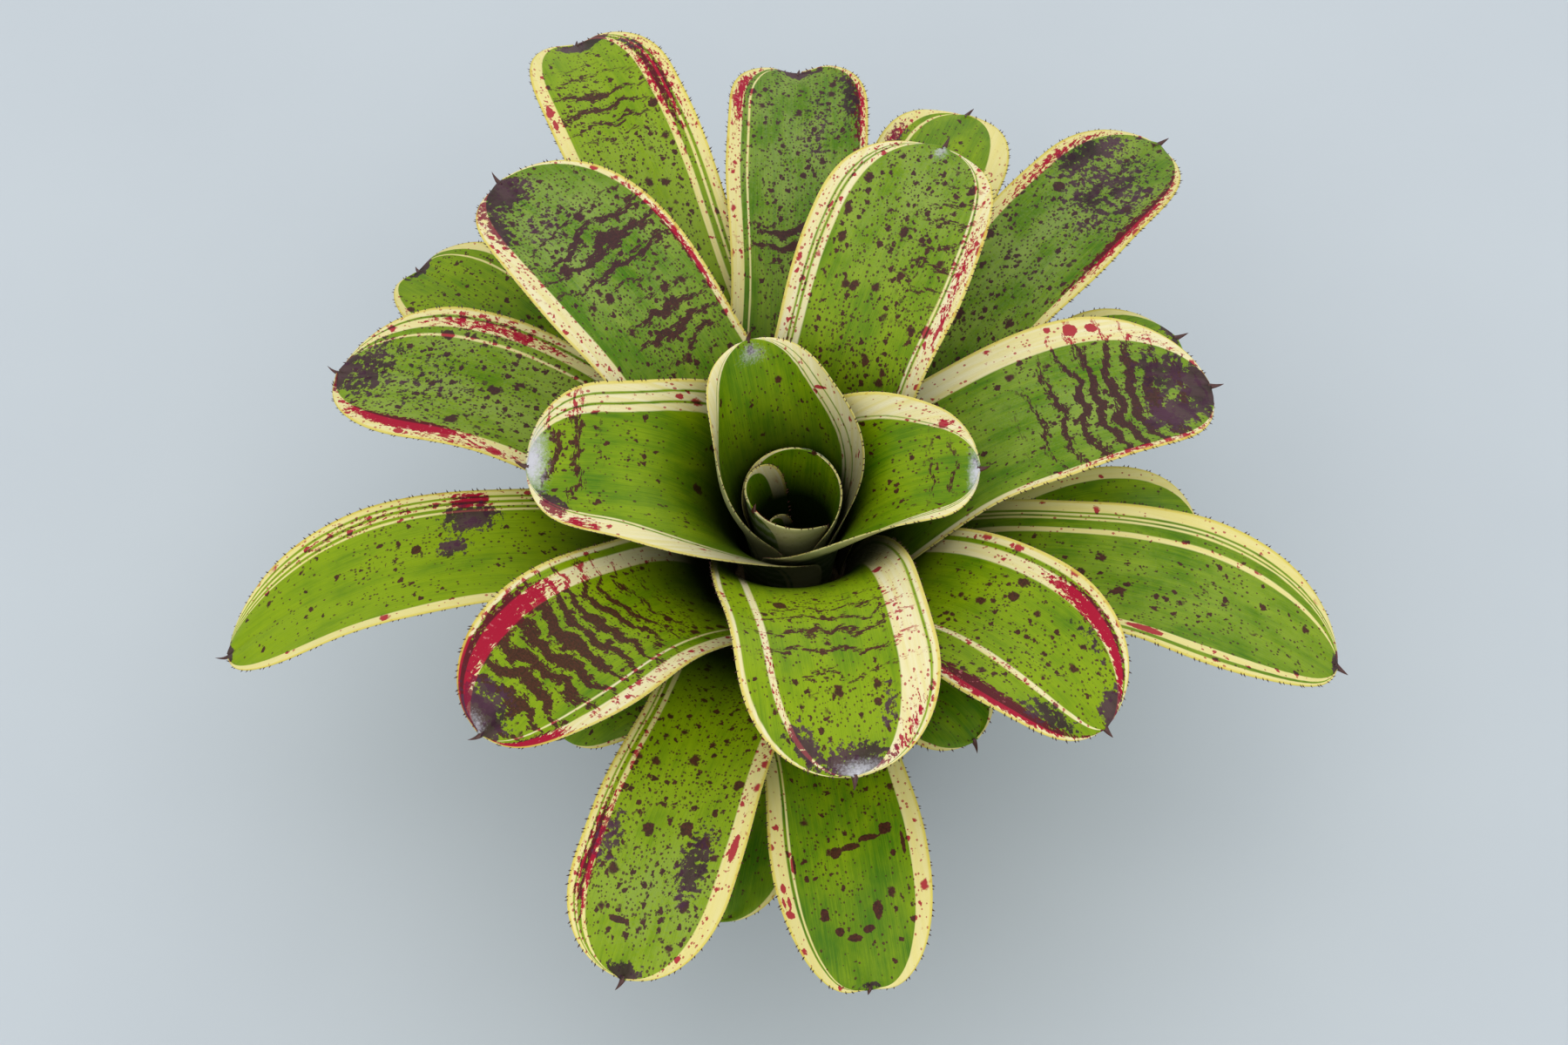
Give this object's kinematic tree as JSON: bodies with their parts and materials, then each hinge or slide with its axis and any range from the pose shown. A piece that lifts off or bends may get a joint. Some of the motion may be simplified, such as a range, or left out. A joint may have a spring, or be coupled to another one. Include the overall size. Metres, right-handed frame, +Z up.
{
  "type": "potted bromeliad",
  "caption": "Potted bromeliad: an open funnel rosette of broad green leaves with cream margins and maroon flecks, on a short stem in a plain plastic nursery pot.",
  "frame": {"origin": "centre of the pot's flat bottom, on the pot's axis", "axes": "+Z up along the pot's axis; +X to the right and +Y away from a viewer who stands at the front of the plant"},
  "size_m": [0.4236, 0.4208, 0.2313],
  "materials": {
    "pot_plastic": "satin",
    "potting_mix": "matte",
    "stem_bark": "matte",
    "young_leaf": "satin",
    "spotted_leaf": "satin",
    "old_leaf": "satin"
  },
  "bodies": {
    "root": {"pot": "pot_plastic", "potting_mix": "potting_mix", "stem": "stem_bark", "heart_leaf_1": "young_leaf", "heart_leaf_2": "young_leaf", "heart_leaf_3": "young_leaf", "cup_leaf_back": "young_leaf", "cup_leaf_right": "young_leaf", "cup_leaf_left": "young_leaf", "inner_leaf_1": "spotted_leaf", "inner_leaf_2": "spotted_leaf", "inner_leaf_3": "spotted_leaf", "inner_leaf_4": "spotted_leaf", "inner_leaf_5": "spotted_leaf", "inner_leaf_6": "spotted_leaf", "middle_leaf_1": "spotted_leaf", "middle_leaf_2": "spotted_leaf", "middle_leaf_3": "spotted_leaf", "middle_leaf_4": "spotted_leaf", "middle_leaf_5": "spotted_leaf", "middle_leaf_6": "spotted_leaf", "middle_leaf_7": "spotted_leaf", "middle_leaf_8": "spotted_leaf", "outer_leaf_1": "old_leaf", "outer_leaf_2": "old_leaf", "outer_leaf_3": "old_leaf", "outer_leaf_4": "old_leaf", "outer_leaf_5": "old_leaf", "outer_leaf_6": "old_leaf", "outer_leaf_7": "old_leaf"}
  },
  "joints": []
}
